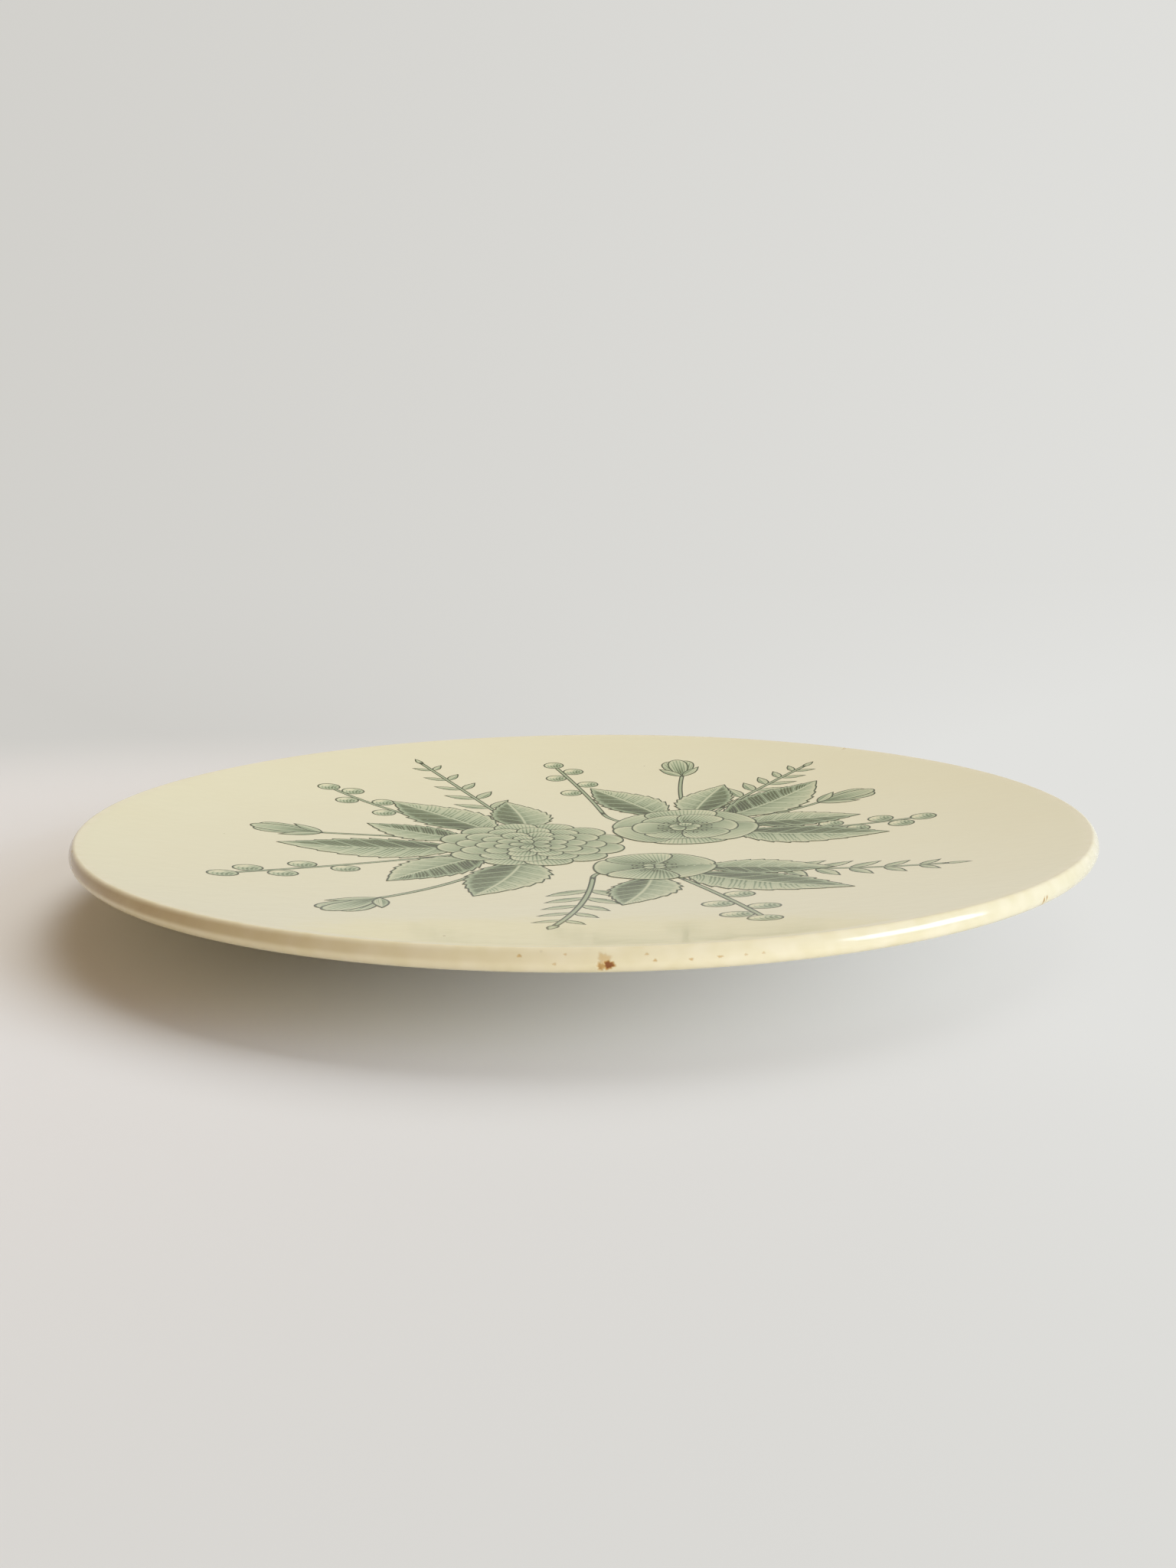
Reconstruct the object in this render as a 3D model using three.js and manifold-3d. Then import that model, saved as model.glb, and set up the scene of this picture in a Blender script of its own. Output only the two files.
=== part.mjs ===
// Ironstone dish: a round coupe dish with a thick rounded edge, standing on a foot ring.
// It is made in layers: a fired clay body, glassy glaze skins over it, and a printed spray of flowers
// whose ink films lie on the face. Millimetres, +Z up; the origin is the middle of the standing plane.
import * as THREE from "three";
import { mergeVertices } from "three/addons/utils/BufferGeometryUtils.js";
import Module from "manifold-3d";

// Dish
const DISH_DIAMETER = 270;
const EDGE_THICKNESS = 5; // the edge is fully round
const FACE_DEPTH = 12; // from the top of the edge down to the middle of the face
const FACE_POWER = 2.2; // 2 would be a parabola, more keeps the middle flatter
const WALL_THICKNESS = 6; // at the middle, and where the foot joins the back

// Foot ring
const FOOT_DIAMETER = 152; // outside, at the standing edge
const FOOT_WIDTH = 4; // the standing edge, with its two corners
const FOOT_CORNER = 0.8; // small bevel on both corners
const FOOT_LEAN = 1.5; // how far each side of the foot spreads on its way up
const FOOT_FILLET = 4; // soft corner between the foot and the back
const FOOT_WELL_DEPTH = 3.5; // hollow inside the foot ring, at the middle
const FOOT_WELL_CROWN = 0.8; // how much deeper that hollow is next to the foot

// Glaze
const GLAZE_THICKNESS = 0.3;
const BARE_FOOT_HEIGHT = 1.2; // the glaze stops this far above the standing plane

// Printed ink
const INK_THICKNESS = 0.15;
const INK_CLEARANCE = 0.05; // between the glaze and an ink film
const INK_RESERVE = 0.5; // bare line round a motif that lies in front of another one
const PRINT_GRID = 1; // one step of the plan in which the motifs are placed and sized
const STALK_WIDTH = 1.6;
const BERRY_DIAMETER = 7.5;
const LEAF_TUCK = 0.72; // a leaf starts this share of the bloom's radius from its middle
const LEAF_FULLNESS = 0.8; // below 1 moves the widest place of a leaf towards its stalk

// How finely curves are stepped
const TURN_STEPS = 60;
const FACE_RINGS = 7;
const EDGE_STEPS = 5;
const BACK_STEPS = 3;
const FILLET_STEPS = 2;
const WELL_STEPS = 3;
const LEAF_STEPS = 6;
const PETAL_STEPS = 4;
const STALK_STEPS = 4;
const BERRY_STEPS = 9;
const SLOPE_CORRECTIONS = 20;

const wasm = await Module();
wasm.setup();

const dish = new THREE.Group();

function addPiece(name, geometry, color, roughness) {
  const material = new THREE.MeshStandardMaterial({ color, roughness, metalness: 0 });
  const mesh = new THREE.Mesh(geometry, material);
  mesh.name = name;
  dish.add(mesh);
}

// Section of the finished dish, as points (radius, height)
const dishRadius = DISH_DIAMETER / 2;
const edgeRadius = EDGE_THICKNESS / 2;
const footRadius = FOOT_DIAMETER / 2;
const footInside = footRadius - FOOT_WIDTH;
const faceMiddle = FOOT_WELL_DEPTH + WALL_THICKNESS;
const dishHeight = faceMiddle + FACE_DEPTH;

const point = (radius, height) => new THREE.Vector2(radius, height);

function onEdge(angle) {
  return point(
    dishRadius - edgeRadius + edgeRadius * Math.cos(angle),
    dishHeight - edgeRadius + edgeRadius * Math.sin(angle),
  );
}

// The face runs smoothly into the round edge. The slope where they meet depends on where they meet, so
// it is found by repeated correction.
let faceSlope = 0;
for (let i = 0; i < SLOPE_CORRECTIONS; i++) {
  const meeting = onEdge(Math.PI / 2 + faceSlope);
  faceSlope = Math.atan((FACE_POWER * (meeting.y - faceMiddle)) / meeting.x);
}
const faceEnd = onEdge(Math.PI / 2 + faceSlope);
const backEnd = onEdge(faceSlope - Math.PI / 2);

function faceHeight(radius) {
  return faceMiddle + (faceEnd.y - faceMiddle) * (radius / faceEnd.x) ** FACE_POWER;
}

// The back follows the face, one wall thickness below it, and thins towards the edge.
const footTop = footRadius + FOOT_LEAN;
const edgeWall = faceHeight(backEnd.x) - backEnd.y;

function backHeight(radius) {
  const share = (radius - footTop) / (backEnd.x - footTop);
  return faceHeight(radius) - THREE.MathUtils.lerp(WALL_THICKNESS, edgeWall, share);
}

const footTopHeight = backHeight(footTop);
const footOutside = (height) => footRadius + (FOOT_LEAN * height) / footTopHeight;

const wellEdge = footInside - FOOT_LEAN;
const wellEdgeHeight = FOOT_WELL_DEPTH + FOOT_WELL_CROWN;
const footInsideAt = (height) => footInside - (FOOT_LEAN * height) / wellEdgeHeight;
const wellHeight = (radius) => FOOT_WELL_DEPTH + FOOT_WELL_CROWN * (radius / wellEdge) ** 2;

// Evenly stepped points of a curve given as a function of a share from 0 to 1
function stepped(count, at) {
  return Array.from({ length: count + 1 }, (_, i) => at(i / count));
}

const faceLine = stepped(FACE_RINGS, (share) => {
  const radius = faceEnd.x * share;
  return point(radius, faceHeight(radius));
});
const edgeTurn = (5 * Math.PI) / 6; // from the top of the edge, past its outside, to well under it
const edgeLine = [
  faceEnd,
  ...stepped(EDGE_STEPS, (share) => onEdge(Math.PI / 2 - edgeTurn * share)),
  backEnd,
];
const backLine = stepped(BACK_STEPS, (share) => {
  const radius = THREE.MathUtils.lerp(backEnd.x, footTop + FOOT_FILLET, share);
  return point(radius, backHeight(radius));
});
const filletLine = new THREE.QuadraticBezierCurve(
  backLine.at(-1),
  point(footTop, footTopHeight),
  point(footOutside(footTopHeight - FOOT_FILLET), footTopHeight - FOOT_FILLET),
).getPoints(FILLET_STEPS);
const glazeStopOutside = point(footOutside(BARE_FOOT_HEIGHT), BARE_FOOT_HEIGHT);
const glazeStopInside = point(footInsideAt(BARE_FOOT_HEIGHT), BARE_FOOT_HEIGHT);

const outerLine = [
  ...faceLine,
  ...edgeLine.slice(1),
  ...backLine.slice(1),
  ...filletLine.slice(1),
  glazeStopOutside,
];
const bareFootLine = [
  glazeStopOutside,
  point(footOutside(FOOT_CORNER), FOOT_CORNER),
  point(footRadius - FOOT_CORNER, 0),
  point(footInside + FOOT_CORNER, 0),
  point(footInsideAt(FOOT_CORNER), FOOT_CORNER),
  glazeStopInside,
];
const wellLine = [
  glazeStopInside,
  ...stepped(WELL_STEPS, (share) => point(wellEdge * (1 - share), wellHeight(wellEdge * (1 - share)))),
];

// A line moved into the dish by a depth, square to itself. Points on the axis stay on the axis.
function inset(line, depth) {
  return line.map((here, i) => {
    const before = line[Math.max(i - 1, 0)];
    const after = line[Math.min(i + 1, line.length - 1)];
    const along = after.clone().sub(before).normalize();
    if (here.x === 0) return point(0, here.y - Math.sign(along.x) * depth);
    return point(here.x + along.y * depth, here.y - along.x * depth);
  });
}

const underOuterGlaze = inset(outerLine, GLAZE_THICKNESS);
const underWellGlaze = inset(wellLine, GLAZE_THICKNESS);

function turned(line) {
  return new THREE.LatheGeometry(line, TURN_STEPS).rotateX(Math.PI / 2);
}

// Fired clay body with its foot ring, and the two glaze skins that the bare foot edge keeps apart
addPiece(
  "biscuit_body",
  turned([
    ...underWellGlaze.toReversed(),
    ...bareFootLine.toReversed(),
    ...underOuterGlaze.toReversed(),
  ]),
  "#d9cdb4",
  0.8,
);
addPiece("outer_glaze", turned([...underOuterGlaze, ...outerLine.toReversed()]), "#e3dabc", 0.12);
addPiece("foot_well_glaze", turned([...wellLine.toReversed(), ...underWellGlaze]), "#e3dabc", 0.12);

// A closed geometry as a solid that can be cut and joined, and back again
function solidOf(geometry) {
  const bare = new THREE.BufferGeometry();
  bare.setAttribute("position", geometry.getAttribute("position"));
  bare.setIndex(geometry.index);
  const merged = mergeVertices(bare);
  const triVerts = new Uint32Array(merged.index.array);
  const vertProperties = merged.getAttribute("position").array;
  return new wasm.Manifold(new wasm.Mesh({ numProp: 3, vertProperties, triVerts }));
}

function geometryOf(solid) {
  const { vertProperties, triVerts } = solid.getMesh();
  const geometry = new THREE.BufferGeometry();
  geometry.setAttribute("position", new THREE.BufferAttribute(vertProperties, 3));
  geometry.setIndex(new THREE.BufferAttribute(triVerts, 1));
  return geometry;
}

// The ink is one even film over the face, of which only the printed motifs are kept.
const raised = (line, rise) => line.map((p) => point(p.x, p.y + rise));
const inkSheet = solidOf(
  turned([
    ...raised(faceLine, INK_CLEARANCE),
    ...raised(faceLine, INK_CLEARANCE + INK_THICKNESS).toReversed(),
  ]),
);

function standing(outline) {
  const shape = new THREE.Shape(outline);
  return solidOf(new THREE.ExtrudeGeometry(shape, { depth: 2 * dishHeight, bevelEnabled: false }));
}

const joined = (outlines) => outlines.map(standing).reduce((sum, next) => sum.add(next));

// Outlines in the plan of the dish, each widened all round by a margin
const heading = (degrees) => point(1, 0).rotateAround(point(0, 0), THREE.MathUtils.degToRad(degrees));

// A leaf along its heading: widest before the middle, pointed at both ends, its tip carried sideways.
function leafOutline({ at, turn, length, width, bend = 0 }, margin) {
  const along = heading(turn);
  const across = point(-along.y, along.x);
  const side = (sign) =>
    stepped(LEAF_STEPS, (share) => {
      const ahead = (length + 2 * margin) * share - margin;
      const half = (width / 2) * Math.sin(Math.PI * share ** LEAF_FULLNESS) + margin;
      const beside = bend * share ** 2 + sign * half;
      return at.clone().addScaledVector(along, ahead).addScaledVector(across, beside);
    });
  const right = side(-1);
  const left = side(1).reverse();
  return margin > 0 ? [...right, ...left] : [...right, ...left.slice(1, -1)];
}

// A bloom: round petals side by side, with a notch between each two.
function bloomOutline({ at, radius, petals, notch, turn = 0 }, margin) {
  const count = petals * PETAL_STEPS;
  return stepped(count, (share) => {
    const bulge = Math.sqrt(Math.abs(Math.sin(petals * Math.PI * share)));
    const reach = radius * (1 - notch + notch * bulge) + margin;
    return at.clone().addScaledVector(heading(turn + 360 * share), reach);
  }).slice(0, -1);
}

// A stalk of even width along a curve from its base, past a control point, to its tip.
function stalkOutline(base, control, tip, margin) {
  const curve = new THREE.QuadraticBezierCurve(base, control, tip);
  const half = STALK_WIDTH / 2 + margin;
  const side = (sign) =>
    stepped(STALK_STEPS, (share) => {
      const along = curve.getTangent(share);
      const across = point(-along.y, along.x);
      const end = margin * (share === 0 ? -1 : share === 1 ? 1 : 0);
      return curve.getPoint(share).addScaledVector(across, sign * half).addScaledVector(along, end);
    });
  return [...side(-1), ...side(1).reverse()];
}

// A berry spray: berries on both sides of a bent stalk and one at its tip. Each has its share of the
// stalk's length and its side.
const BERRY_PLACES = [
  [0.45, 1],
  [0.6, -1],
  [0.75, 1],
  [0.86, -1],
  [1, 0],
];

function sprayOutlines({ at, turn, length, bend }, margin) {
  const along = heading(turn);
  const across = point(-along.y, along.x);
  const tip = at.clone().addScaledVector(along, length).addScaledVector(across, bend);
  const control = at.clone().addScaledVector(along, length / 2);
  const curve = new THREE.QuadraticBezierCurve(at, control, tip);
  const reach = BERRY_DIAMETER / 2 + margin;
  const berryAt = ([share, side]) => {
    const aside = side * (BERRY_DIAMETER / 2 + STALK_WIDTH / 4);
    const middle = curve.getPoint(share).addScaledVector(across, aside);
    const step = 360 / BERRY_STEPS;
    return stepped(BERRY_STEPS - 1, (s) => {
      return middle.clone().addScaledVector(heading(turn + step * (BERRY_STEPS - 1) * s), reach);
    });
  };
  return [stalkOutline(at, control, tip, margin), ...BERRY_PLACES.map(berryAt)];
}

// A fern frond: pairs of leaflets along a stalk, shorter towards the tip.
const FROND_PAIRS = 5;
const LEAFLET_LENGTH = 15;
const LEAFLET_WIDTH = 5.5;
const LEAFLET_LEAN = 48; // degrees from the stalk
const LEAFLET_TAPER = 0.55; // how much shorter a leaflet would be at the very tip
const FIRST_PAIR = 0.25; // shares of the stalk's length
const LAST_PAIR = 0.87;
const END_LEAFLET = 0.97;

function frondOutlines({ at, turn, length, bend }, margin) {
  const along = heading(turn);
  const across = point(-along.y, along.x);
  const tip = at.clone().addScaledVector(along, length).addScaledVector(across, bend);
  const control = at.clone().addScaledVector(along, length / 2);
  const curve = new THREE.QuadraticBezierCurve(at, control, tip);
  const leaflet = (share, lean) => {
    const size = 1 - LEAFLET_TAPER * share;
    const way = curve.getTangent(share);
    const facing = THREE.MathUtils.radToDeg(Math.atan2(way.y, way.x)) + lean;
    const form = { at: curve.getPoint(share), turn: facing };
    form.length = LEAFLET_LENGTH * size;
    form.width = LEAFLET_WIDTH * size;
    return leafOutline(form, margin);
  };
  const places = stepped(FROND_PAIRS - 1, (s) => THREE.MathUtils.lerp(FIRST_PAIR, LAST_PAIR, s));
  const pairs = places.flatMap((share) => [leaflet(share, LEAFLET_LEAN), leaflet(share, -LEAFLET_LEAN)]);
  return [stalkOutline(at, control, tip, margin), ...pairs, leaflet(END_LEAFLET, 0)];
}

// A bud: a plump flower head on a stalk, with two narrow sepals at its base.
const BUD_LENGTH = 21;
const BUD_WIDTH = 13;
const SEPAL_LENGTH = 13;
const SEPAL_WIDTH = 4;
const SEPAL_LEAN = 34; // degrees from the stalk

function budOutlines({ at, turn, length, bend }, margin) {
  const along = heading(turn);
  const across = point(-along.y, along.x);
  const neck = at.clone().addScaledVector(along, length - BUD_LENGTH).addScaledVector(across, bend);
  const control = at.clone().addScaledVector(along, (length - BUD_LENGTH) / 2);
  const base = neck.clone().addScaledVector(along, -STALK_WIDTH / 2);
  const petal = { at: base, turn, length: BUD_LENGTH, width: BUD_WIDTH };
  const sepal = (lean) => ({ at: base, turn: turn + lean, length: SEPAL_LENGTH, width: SEPAL_WIDTH });
  return [
    stalkOutline(at, control, neck, margin),
    leafOutline(petal, margin),
    leafOutline(sepal(SEPAL_LEAN), margin),
    leafOutline(sepal(-SEPAL_LEAN), margin),
  ];
}

// The spray of flowers, from front to back. Places and sizes are in steps of the print grid.
function onGrid(form) {
  const sized = { ...form };
  for (const size of ["radius", "length", "width", "bend"]) {
    if (size in form) sized[size] = form[size] * PRINT_GRID;
  }
  if (form.at) sized.at = form.at.clone().multiplyScalar(PRINT_GRID);
  return sized;
}

const dahlia = onGrid({ name: "ink_dahlia", at: point(-15, -5), radius: 27, petals: 12, notch: 0.16 });
const anemone = onGrid({ name: "ink_anemone", at: point(30, 14), radius: 22, petals: 6, notch: 0.2 });
const windflower = onGrid({
  name: "ink_windflower",
  at: point(18, -34),
  radius: 16,
  petals: 5,
  notch: 0.22,
});

const leaves = [
  { behind: dahlia, turn: 96, length: 36, width: 20, bend: 5 },
  { behind: dahlia, turn: 128, length: 48, width: 24, bend: 7 },
  { behind: dahlia, turn: 163, length: 34, width: 18, bend: -4 },
  { behind: dahlia, turn: 196, length: 50, width: 25, bend: -7 },
  { behind: dahlia, turn: 231, length: 40, width: 21, bend: 6 },
  { behind: dahlia, turn: 266, length: 46, width: 22, bend: -6 },
  { behind: anemone, turn: -32, length: 44, width: 22, bend: 7 },
  { behind: anemone, turn: 4, length: 36, width: 19, bend: -5 },
  { behind: anemone, turn: 38, length: 50, width: 24, bend: 6 },
  { behind: anemone, turn: 76, length: 38, width: 19, bend: -5 },
  { behind: anemone, turn: 112, length: 44, width: 21, bend: 6 },
  { behind: windflower, turn: -10, length: 34, width: 18, bend: -5 },
  { behind: windflower, turn: -48, length: 46, width: 22, bend: 6 },
  { behind: windflower, turn: -96, length: 36, width: 18, bend: -5 },
].map(onGrid);
leaves.forEach((leaf, i) => {
  leaf.name = `ink_leaf_${i + 1}`;
  leaf.at = leaf.behind.at.clone().addScaledVector(heading(leaf.turn), LEAF_TUCK * leaf.behind.radius);
});

const buds = [
  { name: "ink_bud_left", at: point(-40, 0), turn: 176, length: 56, bend: 4 },
  { name: "ink_bud_near", at: point(-26, -40), turn: 248, length: 62, bend: -5 },
  { name: "ink_bud_right", at: point(50, 20), turn: 22, length: 48, bend: 3 },
  { name: "ink_bud_far", at: point(32, 38), turn: 92, length: 62, bend: -4 },
].map(onGrid);
const sprays = [
  { name: "ink_spray_far", at: point(6, 34), turn: 100, length: 64, bend: 6 },
  { name: "ink_spray_far_left", at: point(-38, 16), turn: 146, length: 60, bend: -6 },
  { name: "ink_spray_near_left", at: point(-42, -24), turn: 214, length: 56, bend: 6 },
  { name: "ink_spray_near_right", at: point(24, -50), turn: -70, length: 54, bend: -7 },
  { name: "ink_spray_right", at: point(50, 4), turn: -10, length: 47, bend: 5 },
].map(onGrid);
const fronds = [
  { name: "ink_frond_far_left", at: point(-22, 22), turn: 112, length: 80, bend: 8 },
  { name: "ink_frond_near", at: point(2, -46), turn: 268, length: 60, bend: -6 },
  { name: "ink_frond_near_right", at: point(38, -38), turn: -28, length: 52, bend: 6 },
  { name: "ink_frond_far_right", at: point(44, 36), turn: 58, length: 54, bend: -6 },
].map(onGrid);

const motifs = [
  ...[dahlia, anemone, windflower].map((form) => [form, (margin) => [bloomOutline(form, margin)]]),
  ...leaves.map((form) => [form, (margin) => [leafOutline(form, margin)]]),
  ...buds.map((form) => [form, (margin) => budOutlines(form, margin)]),
  ...sprays.map((form) => [form, (margin) => sprayOutlines(form, margin)]),
  ...fronds.map((form) => [form, (margin) => frondOutlines(form, margin)]),
];

// Each motif keeps clear of those in front of it. What shows of it is its largest patch.
let inFront = null;
for (const [form, outlines] of motifs) {
  let film = inkSheet.intersect(joined(outlines(0)));
  if (inFront) film = film.subtract(inFront);
  const patches = film.decompose().sort((a, b) => b.volume() - a.volume());
  addPiece(form.name, geometryOf(patches[0]), "#8f9a76", 0.2);
  const reserve = joined(outlines(INK_RESERVE));
  inFront = inFront ? inFront.add(reserve) : reserve;
}

export default dish;
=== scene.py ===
import bpy
import numpy as np
from mathutils import Matrix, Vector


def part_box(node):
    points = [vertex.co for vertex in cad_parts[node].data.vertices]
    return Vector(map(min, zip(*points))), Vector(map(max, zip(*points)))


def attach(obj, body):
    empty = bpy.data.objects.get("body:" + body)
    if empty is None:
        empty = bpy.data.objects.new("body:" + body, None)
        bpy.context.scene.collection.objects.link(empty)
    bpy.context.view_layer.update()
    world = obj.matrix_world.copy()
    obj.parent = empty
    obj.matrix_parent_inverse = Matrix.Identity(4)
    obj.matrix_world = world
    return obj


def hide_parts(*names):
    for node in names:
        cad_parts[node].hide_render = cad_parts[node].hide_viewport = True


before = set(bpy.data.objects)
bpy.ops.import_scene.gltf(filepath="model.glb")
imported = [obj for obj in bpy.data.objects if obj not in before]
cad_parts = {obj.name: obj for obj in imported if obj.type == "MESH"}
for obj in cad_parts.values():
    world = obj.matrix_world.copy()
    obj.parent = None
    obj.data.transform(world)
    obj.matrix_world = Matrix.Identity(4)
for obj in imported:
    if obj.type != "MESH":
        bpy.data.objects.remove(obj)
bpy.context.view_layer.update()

# Biscuit body. White ironstone clay, jiggered in one piece with its foot ring and fired hard.
# It carries the glaze, and only the standing edge of the foot is left bare, gritty and a little
# stained from use. Lengths are in millimetres, as points (radius, height) of the turned section.
MM = 0.001
DISH_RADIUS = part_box("outer_glaze")[1].x / MM
DISH_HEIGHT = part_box("outer_glaze")[1].z / MM
EDGE_ROUNDS = np.array([0.9, 3.5, 2.2])
EDGE_TURNS = np.radians([45, 5])
FACE_MIDDLE = 9.5
FACE_POWER = 2.2
WALL = 6.0
FOOT_RADIUS = 76.0
FOOT_WIDTH = 4.0
FOOT_CORNER = 0.8
FOOT_LEAN = 1.5
FOOT_FILLET = 4.0
WELL_DEPTH = 3.5
WELL_CROWN = 0.8
WELL_CORNER_WIDTH = 0.8
WELL_CORNER_HEIGHT = 0.4
GLAZE = 0.3
BARE_FOOT = 1.2

# The edge is three arcs that run into each other: a tight crest, a slow band and a round below it.
# Each arc's middle lies off the next one's by the difference of their rounds at the angle they share.
shared = np.stack([np.cos(EDGE_TURNS), np.sin(EDGE_TURNS)], -1)
crest_shift, band_shift = shared * -np.diff(EDGE_ROUNDS)[:, None]
low_height = DISH_HEIGHT - EDGE_ROUNDS[0] + crest_shift[1] + band_shift[1]
low_middle = np.array([DISH_RADIUS - EDGE_ROUNDS[2], low_height])
edge_middles = np.stack([low_middle - band_shift - crest_shift, low_middle - band_shift, low_middle])


def edge_point(angle):
    """Points of the edge where it faces each angle from the level: the middle of the arc that holds
    the angle, plus that arc's round."""
    arc = (angle < EDGE_TURNS[0]).astype(int) + (angle < EDGE_TURNS[1])
    away = np.stack([np.cos(angle), np.sin(angle)], -1)
    return edge_middles[arc] + EDGE_ROUNDS[arc][..., None] * away


# The face runs into the crest where both have one slope, found by repeated correction.
SLOPE_CORRECTIONS = 20
face_slope = np.float64(0)
for correction in range(SLOPE_CORRECTIONS):
    meeting = edge_point(np.pi / 2 + face_slope)
    face_slope = np.arctan(FACE_POWER * (meeting[1] - FACE_MIDDLE) / meeting[0])
edge_start = np.pi / 2 + face_slope
edge_stop = face_slope - np.pi / 2
face_end = edge_point(edge_start)
back_end = edge_point(edge_stop)
foot_top = FOOT_RADIUS + FOOT_LEAN
foot_inside = FOOT_RADIUS - FOOT_WIDTH
well_edge = foot_inside - FOOT_LEAN


def face_height(radius):
    """The face: its middle plus its rise times the share of the radius to the face power."""
    return FACE_MIDDLE + (face_end[1] - FACE_MIDDLE) * (radius / face_end[0]) ** FACE_POWER


def back_height(radius):
    """The back: one wall below the face, the wall thinning evenly from the foot to the edge."""
    share = (radius - foot_top) / (back_end[0] - foot_top)
    edge_wall = face_height(back_end[0]) - back_end[1]
    return face_height(radius) - (WALL + (edge_wall - WALL) * share)


def foot_outside(height):
    """Outer side of the foot, which spreads evenly by its lean up to the back."""
    return FOOT_RADIUS + FOOT_LEAN * height / back_height(foot_top)


def foot_inner(height):
    """Inner side of the foot, which leans evenly inwards up to the edge of the well."""
    return foot_inside - FOOT_LEAN * height / (WELL_DEPTH + WELL_CROWN)


def edge_line(step):
    """Section of the edge from the face to the back, in even steps along its arcs."""
    turns = np.array([edge_start, *EDGE_TURNS, edge_stop])
    run = np.append(0, np.cumsum(EDGE_ROUNDS * -np.diff(turns)))
    along = np.linspace(0, run[-1], 2 + int(run[-1] / step))
    return edge_point(np.interp(along, run, turns))


FACE_CLOSING = 0.8
FOOT_SIDE_RINGS = 4


def outer_line(face_rings, edge_step, back_rings, fillet_rings):
    """Glazed section from the middle of the face over the edge and down to the bare foot. Face rings
    close up towards the edge; the fillet is a quadratic curve through the corner."""
    face_r = face_end[0] * np.linspace(0, 1, face_rings) ** FACE_CLOSING
    face = np.stack([face_r, face_height(face_r)], -1)
    edge = edge_line(edge_step)
    back_r = np.linspace(back_end[0], foot_top + FOOT_FILLET, back_rings)
    back = np.stack([back_r, back_height(back_r)], -1)
    corner = np.array([foot_top, back_height(foot_top)])
    low = corner[1] - FOOT_FILLET
    share = np.linspace(0, 1, fillet_rings)[:, None]
    end = np.array([foot_outside(low), low])
    fillet = (1 - share) ** 2 * back[-1] + 2 * share * (1 - share) * corner + share ** 2 * end
    down = np.linspace(low, BARE_FOOT, FOOT_SIDE_RINGS)
    side = np.stack([foot_outside(down), down], -1)
    return np.concatenate([face, edge[1:], back[1:], fillet[1:], side[1:]])


WELL_SIDE_RINGS = 3


def well_line(rings):
    """Glazed hollow from inside the foot up to a soft corner, and along a shallow bowl that rises with
    the square of its radius, to the axis."""
    up = np.linspace(BARE_FOOT, WELL_DEPTH + WELL_CROWN - WELL_CORNER_HEIGHT, WELL_SIDE_RINGS)
    side = np.stack([foot_inner(up), up], -1)
    radius = (well_edge - WELL_CORNER_WIDTH) * np.linspace(1, 0, rings)
    bowl = np.stack([radius, WELL_DEPTH + WELL_CROWN * (radius / well_edge) ** 2], -1)
    return np.concatenate([side, bowl])


def inset(line, depth):
    """A section line moved into the clay, square to its own direction; the axis stays the axis."""
    way = np.gradient(line, axis=0)
    way /= np.linalg.norm(way, axis=1, keepdims=True)
    moved = line + depth * np.stack([way[:, 1], -way[:, 0]], -1)
    moved[line[:, 0] == 0, 0] = 0
    return moved


def turned(line, angles):
    """Surface of revolution: every point of the line goes round the axis at each angle. Both ends
    of the line lie on the axis, and each closes in one vertex."""
    rings = len(line) - 2
    radius = line[1:-1, 0, None]
    height = np.repeat(line[1:-1, 1, None], len(angles), 1)
    around = np.stack([radius * np.cos(angles), radius * np.sin(angles), height], -1)
    start = [[0, 0, line[0, 1]]]
    end = [[0, 0, line[-1, 1]]]
    points = np.concatenate([start, around.reshape(-1, 3), end])
    here = 1 + np.arange(rings * len(angles)).reshape(rings, len(angles))
    beside = np.roll(here, -1, 1)
    sides = np.stack([here[:-1], here[1:], beside[1:], beside[:-1]], -1).reshape(-1, 4)
    first = np.stack([np.zeros_like(here[0]), here[0], beside[0]], -1)
    last = np.stack([np.full_like(here[0], len(points) - 1), beside[-1], here[-1]], -1)
    return points, [sides, first, last]


SMOOTH_BELOW = np.radians(40)


def make_piece(name, points, faces, material, nodes, slot, **values):
    """A mesh in metres from points in millimetres, with one value per point for each attribute.
    It rides on the dish and stands for its CAD nodes."""
    mesh = bpy.data.meshes.new(name)
    mesh.from_pydata(points * MM, [], [corners for part in faces for corners in part.tolist()])
    mesh.shade_smooth()
    mesh.set_sharp_from_angle(angle=SMOOTH_BELOW)
    for title, value in values.items():
        attribute = mesh.attributes.new(title, "FLOAT", "POINT")
        attribute.data.foreach_set("value", np.ascontiguousarray(value, np.float32))
    mesh.materials.append(material)
    piece = bpy.data.objects.new(name, mesh)
    bpy.context.scene.collection.objects.link(piece)
    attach(piece, "root")
    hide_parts(*nodes)


def linear(colour):
    """An sRGB hex colour as linear red, green, blue and a full alpha."""
    part = np.array([int(colour[i:i + 2], 16) for i in (1, 3, 5)]) / 255
    part = np.where(part <= 0.04045, part / 12.92, ((part + 0.055) / 1.055) ** 2.4)
    return (*part, 1.0)


def node(tree, kind, inputs=None, **settings):
    """Adds one shader node. Inputs are values or output sockets, by name or number."""
    added = tree.nodes.new("ShaderNode" + kind)
    for title, value in settings.items():
        setattr(added, title, value)
    for title, value in (inputs or {}).items():
        if isinstance(value, bpy.types.NodeSocket):
            tree.links.new(value, added.inputs[title])
        else:
            added.inputs[title].default_value = value
    return added


def new_material(name):
    """An empty material, with its node tree and its Principled shader."""
    material = bpy.data.materials.new(name)
    material.use_nodes = True
    return material, material.node_tree, material.node_tree.nodes["Principled BSDF"]


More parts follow.
